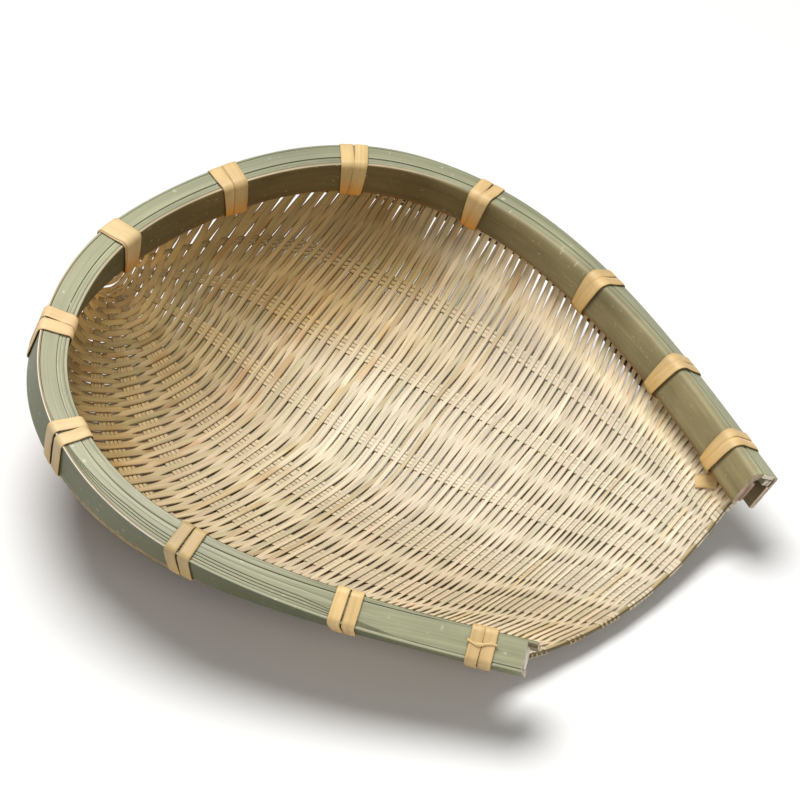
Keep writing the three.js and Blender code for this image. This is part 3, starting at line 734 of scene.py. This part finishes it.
def binding(k):
    uc = BINDING_AT[k - 1] + MOVED.get(k, 0.0)
    spread, slant, strip = TURNS[k]
    speed = float(Section(uc).speed[0])
    far = float(smooth(uc, 0.28, 0.62))
    shape = (2.5 + 0.4 * far, 2.6 + 1.4 * far, 0.40 + 0.35 * far)
    tau = np.linspace(0.03, 1.97, 230)
    f, turn = np.mod(tau, 1.0), smooth(tau, 0.94, 1.06)
    sp = np.interp(f, STATIONS, list(spread) + [spread[0]])
    sl = np.interp(f, STATIONS, list(slant) + [slant[0]])
    o = sl + sp * (2 * turn - 1) + wobble(tau * 64, 500 + k, 60, 0.06)
    pq = loop_path(tau, *shape)
    # where the turns lie on each other the second one is lifted
    lift = smooth(strip - 2 * sp, 0.0, 0.9) * 0.42 * turn
    d = unit(np.gradient(pq, axis=0))
    nrm = np.stack([d[:, 1], -d[:, 0]], -1)
    pq = pq + nrm * (lift + wobble(tau * 64, 540 + k, 20, 0.025))[:, None]
    sec = Section(uc + o / speed)
    path = sec.at(pq[:, 0], pq[:, 1])
    face = sec.n * nrm[:, :1] + sec.b * nrm[:, 1:]
    g = np.random.default_rng(600 + k)
    tone = TONES[k - 1] * (1 + wobble(tau * 64, 620 + k, 45, 0.03))
    # painted shade: the bindings turn browner down their sides, most on bindings 6 to 9
    amber_shade = 6 <= k <= 9
    low = smooth(-pq[:, 1], -4.0, 9.0)[:, None] * (0.9 if amber_shade else 0.5)      # browner down the sides
    tint = (OCHRE_PALE if k in (4, 5, 6) else OCHRE) * tone[:, None] * (1 + 0.015 * g.normal(size=3))
    tint = tint * (1 - low) + (lin(214, 150, 62) if amber_shade else lin(196, 154, 78)) * low
    width = (strip - 0.2) * np.interp(f, STATIONS, TAPER.get(k, (1,) * 7)) + wobble(tau * 64, 560 + k, 70, 0.10)
    pc = Piece()
    ribbon(pc, path, face, width, 0.50, tint, 20 + k, crown=0.14, ends=(lin(226, 196, 140), 0.1))
    if k == 1:
        # a tucked end makes a crease across both turns
        x = np.linspace(-1, 1, 15)
        sec = Section(uc + 6.0 * x / speed)
        q = HALF_H + 1.22 + 0.12 * np.cos(3 * x)
        ribbon(pc, sec.at(-0.6 + 0.8 * np.sin(3.0 * x + 0.6), q), sec.b, 1.5 - 0.5 * np.abs(x) + 0.3 * np.sin(7 * x), 0.5, OCHRE * 0.98, 41, crown=0.3, ends=(lin(236, 206, 150), 0.15))
    if k == 12:
        # its loose end lies on the mat
        a, v = np.linspace(0.985, 0.885, 14), np.linspace(0.022, 0.041, 14)
        strands = [Strand(y) for y in v]
        p = np.array([st.at(x)[0] for st, x in zip(strands, a)])
        across = np.array([Strand(y + 0.004).at(x)[0] - Strand(y - 0.004).at(x)[0] for y, x in zip(v, a)])
        up = unit(np.cross(np.gradient(p, axis=0), across))
        up = np.where(up[:, 2:3] < 0, -up, up)
        ribbon(pc, p + up * np.linspace(1.5, 1.9, 14)[:, None], up, 6.3, 0.45, OCHRE * 1.02, 40, crown=0.10, ends=(lin(226, 196, 140), 0.1))
    return pc


for k in range(1, 13):
    binding(k).build(f"binding_wound_{k:02d}", MAT_BIND, [f"binding_{k:02d}"], "binding_strip")

# ------------------------------------------------------------------------- mat
GV, GA = np.linspace(-0.03, 1.0, 413), np.linspace(-1, 1, 401)
GRID = np.array([Strand(v).at(GA) for v in GV])
GRID_V, GRID_A = np.gradient(GRID, GV, axis=0), np.gradient(GRID, GA, axis=1)
GRID_N = unit(np.cross(GRID_A, GRID_V))


def sample(grid, a, v):
    x = np.clip((np.asarray(a) + 1) / 2, 0, 1) * (len(GA) - 1)
    y = np.clip((np.asarray(v) - GV[0]) / (GV[-1] - GV[0]), 0, 1) * (len(GV) - 1)
    i, j = np.minimum(x.astype(int), len(GA) - 2), np.minimum(y.astype(int), len(GV) - 2)
    fx, fy = (x - i)[:, None], (y - j)[:, None]
    return (grid[j, i] * (1 - fx) + grid[j, i + 1] * fx) * (1 - fy) + (grid[j + 1, i] * (1 - fx) + grid[j + 1, i + 1] * fx) * fy


def _raw_v(a, c):
    """Where a strand lies along the mat: c is its place at LINE_A."""
    d = np.asarray(a, float) - LINE_A
    v = c + 0 * d
    for i, row in enumerate(LINE_K, 1):
        for j, k in enumerate(row):
            v = v + k * d**i * c**j
    return np.clip(v, -0.025, 1.0)


_edge_a = np.linspace(-1, 1, 81)
_edge_v = _raw_v(_edge_a, 1.0)


def line_v(a, c):
    """The same, closed against the back of the rim."""
    v = _raw_v(a, c) + (1 - np.interp(a, _edge_a, _edge_v)) * smooth(c, 0.86, 1.0)
    v = v + 0.0118 * np.clip(a, 0, 1) ** 5 * (1 - smooth(c, 0.0, 0.14))      # drawn in at the far end of the mouth
    return np.clip(v, -0.025, 1.0)


_warps = [spline(WARP_C, row) for row in WARP_A]
_room = table(ROOM)
PLACES = [19.5 / 1500]
while PLACES[-1] < 0.9992:
    PLACES.append(PLACES[-1] + min(float(_room(PLACES[-1])) / 3000, 0.30 * (1.0006 - PLACES[-1])))
PLACES = np.array(PLACES)

CREAM, CREAM_PINK, CREAM_GREEN, CREAM_TAN = lin(215, 202, 176), lin(215, 199, 174), lin(209, 200, 170), lin(205, 187, 152)
# colour the strands and strips take in the painted shade
SHADE_BROWN = np.array([0.66, 0.54, 0.34])
WEFT_T, WARP_T, RISE = 0.66, 0.60, 0.78


def shade_brown_at(a, c):
    """Painted shade: strands are darker and browner toward the back and the left wall, where the walls lie in shade."""
    k = 1.05 * smooth(c, 0.54, 0.86)
    k = k + 0.75 * smooth(-a, 0.25, 0.80) * smooth(c, 0.25, 0.60)
    k = k + 0.45 * smooth(-np.abs(a + 0.30), -0.42, -0.05) * (1 - smooth(c, 0.55, 0.75))
    k = k + 0.60 * smooth(a, 0.30, 0.55) * (1 - smooth(a, 0.74, 0.90)) * smooth(c, 0.34, 0.56) * (1 - smooth(c, 0.75, 0.9))
    k = k + 0.42 * smooth(a, 0.60, 0.82) * smooth(c, 0.51, 0.62)
    return np.clip(k + 0.15 * (1 - smooth(c, 0.0, 0.09)), 0, 1.12)


def painted_light_at(a, c):
    """Painted light: paler, warmer strands low on the back wall, on the left wall and where they rise beside the far
    hoop, with a band of painted shade across the middle of the back wall.
    """
    k = (0.42 * smooth(c, 0.90, 0.965) + 0.20 * smooth(a, 0.45, 0.70) * smooth(c, 0.70, 0.90)) * (1 - smooth(a, 0.80, 0.92))
    k = k + 0.42 * smooth(-a, 0.38, 0.65) * smooth(c, 0.86, 0.93) + 0.32 * smooth(a, 0.78, 0.90) * (1 - smooth(c, 0.50, 0.62))
    k = k + 0.14 * smooth(-a, 0.30, 0.50) * (1 - smooth(c, 0.22, 0.32)) - 0.15 * smooth(c, 0.72, 0.82) * (1 - smooth(c, 0.89, 0.95)) * (1 - smooth(np.abs(a), 0.35, 0.60))
    return np.asarray(k)[..., None] * np.array([1.0, 0.84, 0.55]) + 1


def strand_colour(g, a, c, s, seed):
    pick = g.uniform()
    base = CREAM if pick < 0.66 else CREAM_PINK if pick < 0.82 else CREAM_GREEN if pick < 0.96 else CREAM_TAN
    tone = 1 + 0.055 * g.normal() + wobble(s, seed, 110, 0.028)
    # painted shade and painted light on each strand, by where it lies on the mat
    k = shade_brown_at(a, c)[:, None]
    rust = smooth(wobble(s, seed + 7000, 75, 1.0), 1.0, 2.2) * (0.25 + 0.75 * smooth(c, 0.38, 0.62))
    return base * tone[:, None] * (1 - k + k * SHADE_BROWN) * painted_light_at(a, c) * (1 - rust[:, None] * np.array([0.12, 0.24, 0.38]))


def wave(a, c, sign, amp_end):
    """Height of a strand (-1 .. 1): over one long strip, under the next."""
    nodes = np.array([-1.0] + [float(w(c)) for w in _warps[:7]] + [1.0])
    k = np.clip(np.searchsorted(nodes, a) - 1, 0, len(nodes) - 2)
    f = np.cos(np.pi * np.clip((a - nodes[k]) / (nodes[k + 1] - nodes[k]), 0, 1)) * np.where(k % 2, 1, -1) * sign
    h = np.tanh(1.9 * f) / math.tanh(1.9)
    ends = np.maximum(smooth(-a, -nodes[1], 1.0), smooth(a, nodes[-2], 1.0))
    return h * (1 - ends * (1 - amp_end)), np.abs(f)


def weft(pc, i):
    c = PLACES[i]
    room = 0.5 * (PLACES[min(i + 1, len(PLACES) - 1)] - PLACES[max(i - 1, 0)]) * (1 if 0 < i < len(PLACES) - 1 else 2)
    sign = 1 if i % 2 else -1
    a = np.linspace(-1, 1, 241)
    total = np.linalg.norm(np.diff(sample(GRID, a, line_v(a, c)), axis=0), axis=1).sum()
    a = np.linspace(-1, 1, max(int(total / 1.6), 24))
    v = line_v(a, c)
    p, n = sample(GRID, a, v), sample(GRID_N, a, v)
    step = (line_v(a, c + 0.002) - line_v(a, c - 0.002)) / 0.004
    t = unit(np.gradient(p, axis=0))
    tv = sample(GRID_V, a, v) * step[:, None]
    perp = tv - (tv * t).sum(1, keepdims=True) * t
    pitch = np.linalg.norm(perp, axis=1) * room
    s = np.concatenate([[0], np.cumsum(np.linalg.norm(np.diff(p, axis=0), axis=1))])
    h, over = wave(a, c, sign, 0.62)
    g = np.random.default_rng(1000 + i)
    calm = 1 - 0.15 * smooth(c, 0.93, 0.99)
    drift = wobble(s, 2000 + i, 60, 0.03) * np.clip(pitch, 0.6, 3.0)
    edge = smooth(a, 0.78, 0.97)                 # less even where they go up behind the far hoop
    drift = drift + edge * g.normal() * 0.10 * np.clip(pitch, 0.6, 3.0)
    u1 = float(Strand(v[-1]).u[1])
    pair = float(smooth(u1, 0.27, 0.31) * (1 - smooth(u1, 0.79, 0.83)))       # they lie in twos beside the far hoop
    drift = drift + pair * (-1 if i % 2 else 1) * (0.20 + 0.07 * g.normal()) * np.clip(pitch, 0.6, 3.0) * smooth(a, 0.80, 0.985)
    path = p + n * (h * RISE * calm)[:, None] + unit(perp) * drift[:, None]
    loose = np.maximum(smooth(-a, 0.30, 0.65), smooth(c, 0.58, 0.85))
    close = 0.20 * smooth(-a, 0.50, 0.70) + 0.20 * smooth(-a, 0.80, 0.95) + 0.10 * (1 - smooth(c, 0.05, 0.16))
    close = close + 0.14 * (1 - smooth(c, 0.06, 0.14)) * smooth(-a, 0.1, 0.5) + 0.06 * smooth(a, 0.45, 0.70) * smooth(c, 0.80, 0.88)
    close = close + 0.09 * smooth(c, 0.50, 0.66) + 0.07 * smooth(-a, 0.45, 0.60)
    slit = edge * (0.16 * float(smooth(u1, 0.04, 0.10) * (1 - smooth(u1, 0.24, 0.28))) - 0.05 - 0.09 * pair)
    width = np.clip(pitch * (1.14 - 0.10 * loose - 0.18 * over**2 + close) * (1 - slit), 1.0, 3.9) * (1 + 0.03 * g.normal() + 0.10 * edge * g.normal())
    up = np.linspace(9.5, 0.8, 6)
    ends = []
    for k, e in ((0, 0), (1, -1)):
        sec = Section(np.full(6, np.clip(Strand(v[e]).u[k], -0.995, 0.995)))
        ends.append((sec.at(MAT_OFFSET - h[e] * RISE * calm + 0 * up, -HALF_H + up) + unit(perp)[e] * drift[e], -sec.n))
    path = np.concatenate([ends[0][0], path, ends[1][0][::-1]])
    n = np.concatenate([ends[0][1], n, ends[1][1]])
    aa = np.concatenate([np.full(6, -1.0), a, np.full(6, 1.0)])
    ss = np.concatenate([np.linspace(-9, -1, 6), s, s[-1] + np.linspace(1, 9, 6)])
    side = unit(np.cross(n, np.gradient(path, axis=0)))
    n = unit(n + side * wobble(ss, 3000 + i, 50, 0.06)[:, None])
    width = np.concatenate([np.full(6, width[0]), width, np.full(6, width[-1])])
    ribbon(pc, path, n, width, WEFT_T, strand_colour(g, aa, c, ss, 4000 + i), 100 + i)


def cap_strand(pc, e, n_cap):
    """Short strands that close the mat against the back of the rim."""
    w = (e + 1) / (n_cap + 0.6)
    a = np.linspace(-1, 1, 34)
    v = np.full_like(a, 1.0)
    ends = Strand(1.0).u
    sec = Section(ends[0] + (ends[1] - ends[0]) * (a + 1) / 2)
    rim = sec.at(np.full_like(a, MAT_OFFSET), np.full_like(a, -HALF_H + 0.5))
    p = sample(GRID, a, v) * (1 - w) + rim * w
    g = np.random.default_rng(1900 + e)
    s = np.concatenate([[0], np.cumsum(np.linalg.norm(np.diff(p, axis=0), axis=1))])
    n = unit(sample(GRID_N, a, v) * (1 - w) - sec.n * w)
    p = p + n * (0.45 * np.cos(a * 9 + e * math.pi))[:, None]
    up = np.linspace(8, 0.8, 5)
    end = [Section(np.full(5, ends[k])).at(np.full(5, MAT_OFFSET), -HALF_H + up) for k in (0, 1)]
    path = np.concatenate([end[0], p, end[1][::-1]])
    n = np.concatenate([np.tile(-sec.n[0], (5, 1)), n, np.tile(-sec.n[-1], (5, 1))])
    aa = np.concatenate([np.full(5, -1.0), a, np.full(5, 1.0)])
    ribbon(pc, path, n, 2.1, WEFT_T * 0.9, strand_colour(g, aa, np.full_like(aa, 0.99), np.arange(len(path)) * 1.0, 1950 + e), 290 + e)


def border(pc):
    """A split strip laid along the front of the mouth, its skin outward."""
    a = np.linspace(-0.985, 0.985, 190)
    v = line_v(a, PLACES[0] - 0.0045)
    p, n = sample(GRID, a, v), sample(GRID_N, a, v)
    t = unit(np.gradient(p, axis=0))
    out = -unit(sample(GRID_V, a, v) - (sample(GRID_V, a, v) * t).sum(1, keepdims=True) * t)
    s = np.concatenate([[0], np.cumsum(np.linalg.norm(np.diff(p, axis=0), axis=1))])
    for e, (o, d, tilt, w, c) in enumerate(((0.85, 1.05, 0.45, 2.5, (104, 91, 57)), (0.15, 0.35, -0.9, 1.6, (196, 176, 132)))):
        path = p + out * (o + wobble(s, 90 + e, 35, 0.06))[:, None] - n * (d + wobble(s, 92 + e, 40, 0.06))[:, None]
        tint = lin(*c) * (1 + wobble(s, 94 + e, 30, 0.07))[:, None]
        ribbon(pc, path, unit(out - n * tilt), w + wobble(s, 96 + e, 45, 0.1), 0.5, tint, 300 + e)


for j in range(BANDS):
    pc = Piece()
    if j == 0:
        border(pc)
    for i in range(len(PLACES)):
        if min(int(PLACES[i] * BANDS), BANDS - 1) == j:
            weft(pc, i)
    if j == BANDS - 1:
        for e in range(4):
            cap_strand(pc, e, 4)
    pc.build(f"weft_strands_{j + 1:02d}", MAT_WEFT, [f"weft_band_{j + 1:02d}"], "weft_strand")

# long strips side by side in each bundle, bent down round the first strand at the mouth
CS = np.concatenate([np.linspace(PLACES[0] - 0.0045, 0.05, 26), np.linspace(0.055, 0.985, 190)])
for k in range(8):
    pc = Piece()
    for m in range(WARP_STRIPS[k]):
        off = (m - (WARP_STRIPS[k] - 1) / 2) * STRIP_PITCH
        g = np.random.default_rng(5000 + 10 * k + m)
        ac = np.minimum(_warps[k](CS) + (0.013 * smooth(CS, 0.03, 0.14) if k == 7 else 0), 0.997)
        half = np.array([np.linalg.norm(sample(GRID_A, np.array([x]), np.array([y]))) for x, y in zip(ac, line_v(ac, 0) * 0 + np.array([float(line_v(np.array([x]), c)[0]) for x, c in zip(ac, CS)]))])
        squeeze = 1 - 0.72 * smooth(CS, 0.80, 0.985)
        a = ac + off * squeeze / half
        v = np.array([float(line_v(np.array([x]), c)[0]) for x, c in zip(a, CS)])
        p, n = sample(GRID, a, v), sample(GRID_N, a, v)
        s = np.concatenate([[0], np.cumsum(np.linalg.norm(np.diff(p, axis=0), axis=1))])
        p = p + unit(sample(GRID_A, a, v)) * wobble(s, 5300 + 10 * k + m, 80, 0.08)[:, None]
        if k == 7:
            p = p - n * 0.95                     # lies below all strands, beside the far hoop
        # the turned end
        t0 = unit(p[0] - p[2])
        r = 1.15
        ang = np.radians([170, 140, 110, 80, 50, 25])
        fold = [p[0] + t0 * r * math.sin(x) + n[0] * (-r + r * math.cos(x)) for x in ang]
        fold_n = [n[0] * math.cos(x) + t0 * math.sin(x) for x in ang]
        tail = [p[0] - t0 * d - n[0] * 2 * r for d in (7.0, 4.5, 2.0)]
        path = np.concatenate([tail, fold, p])
        nn = np.concatenate([np.tile(-n[0], (3, 1)), fold_n, n])
        cc = np.concatenate([np.full(9, CS[0]), CS])
        aa = np.concatenate([np.full(9, a[0]), a])
        ss = np.concatenate([np.linspace(-14, -1, 9), s])
        width = (STRIP_PITCH - 0.08 - 0.13 * smooth(cc, 0.20, 0.42)) * (1 - 0.62 * smooth(cc, 0.80, 0.985)) * (1 + 0.03 * g.normal())
        # painted light: the long strips, a little darker than the strands, are lightened toward the back and on the
        # left where they lie in shade
        col = CREAM * (0.93 + 0.05 * smooth(cc, 0.42, 0.62) + 0.09 * smooth(-aa, 0.25, 0.5) * smooth(cc, 0.25, 0.4) * (1 - smooth(cc, 0.46, 0.60)))[:, None] * (1 + 0.04 * g.normal() + wobble(ss, 5600 + 10 * k + m, 70, 0.03))[:, None]
        # painted shade: the same browning as the strands
        kk = shade_brown_at(aa, cc)[:, None]
        # painted shade: the backing strips beside the far hoop turn dark brown
        if k == 7:
            backing_shade = smooth(cc, 0.02, 0.08)[:, None]
            col = col * (1 - backing_shade) + lin(120, 90, 54) * backing_shade
        # painted light on the turned ends at the mouth, which face down into shade
        ribbon(pc, path, nn, width, WARP_T, col * (1 - kk + kk * SHADE_BROWN) * np.concatenate([np.full(9, 1.12), np.ones(len(CS))])[:, None], 400 + 10 * k + m, crown=0.12)
    pc.build(f"warp_strips_{k + 1}", MAT_WARP, [f"warp_{k + 1}"], "warp_strip")

# ------------------------------------------------------------ floor, light, camera
AZ, EL = math.radians(49.1457), math.radians(39.9209)
aim = Vector((-0.000496, -0.011587, 0.05615))
back = Vector((-math.sin(AZ) * math.cos(EL), -math.cos(AZ) * math.cos(EL), math.sin(EL)))
eye = aim + back * 1.04486

# a plain pale floor; its shadow comes from the lights
floor_me = bpy.data.meshes.new("floor")
floor_me.from_pydata([(-4, -4, -0.0006), (4, -4, -0.0006), (4, 4, -0.0006), (-4, 4, -0.0006)], [], [(0, 1, 2, 3)])
floor = bpy.data.objects.new("floor", floor_me)
bpy.context.scene.collection.objects.link(floor)
fm = bpy.data.materials.new("pale_floor")
fm.use_nodes = True
floor_bsdf = fm.node_tree.nodes["Principled BSDF"]
floor_bsdf.inputs["Base Color"].default_value = (0.74, 0.735, 0.725, 1)
floor_bsdf.inputs["Roughness"].default_value = 0.9
floor_bsdf.inputs["Specular IOR Level"].default_value = 0.1
floor_me.materials.append(fm)

world = bpy.data.worlds.new("studio")
world.use_nodes = True
world.node_tree.nodes["Background"].inputs[0].default_value = (1, 1, 1, 1)
world.node_tree.nodes["Background"].inputs[1].default_value = 0.22
bpy.context.scene.world = world


def area(name, place, aim, size, power, colour=(1, 1, 1)):
    d = bpy.data.lights.new(name, "AREA")
    d.shape, d.size, d.energy, d.color = "DISK", size, power, colour
    o = bpy.data.objects.new(name, d)
    bpy.context.scene.collection.objects.link(o)
    o.location = place
    o.rotation_euler = (Vector(aim) - Vector(place)).to_track_quat("-Z", "Y").to_euler()


area("overhead_light", (0.12, 0.28, 1.55), (0, 0, 0), 0.95, 31.5)
area("fill_light", (-0.50, -0.95, 0.62), (0, 0, 0.03), 0.6, 4.0)

cam_d = bpy.data.cameras.new("camera")
cam_d.sensor_width, cam_d.lens = 36.0, 108.13
cam_d.clip_start, cam_d.clip_end = 0.01, 50
cam = bpy.data.objects.new("camera", cam_d)
bpy.context.scene.collection.objects.link(cam)
cam.location = eye
cam.rotation_euler = (-back).to_track_quat("-Z", "Y").to_euler()
bpy.context.scene.camera = cam
bpy.context.scene.view_settings.view_transform = "Standard"
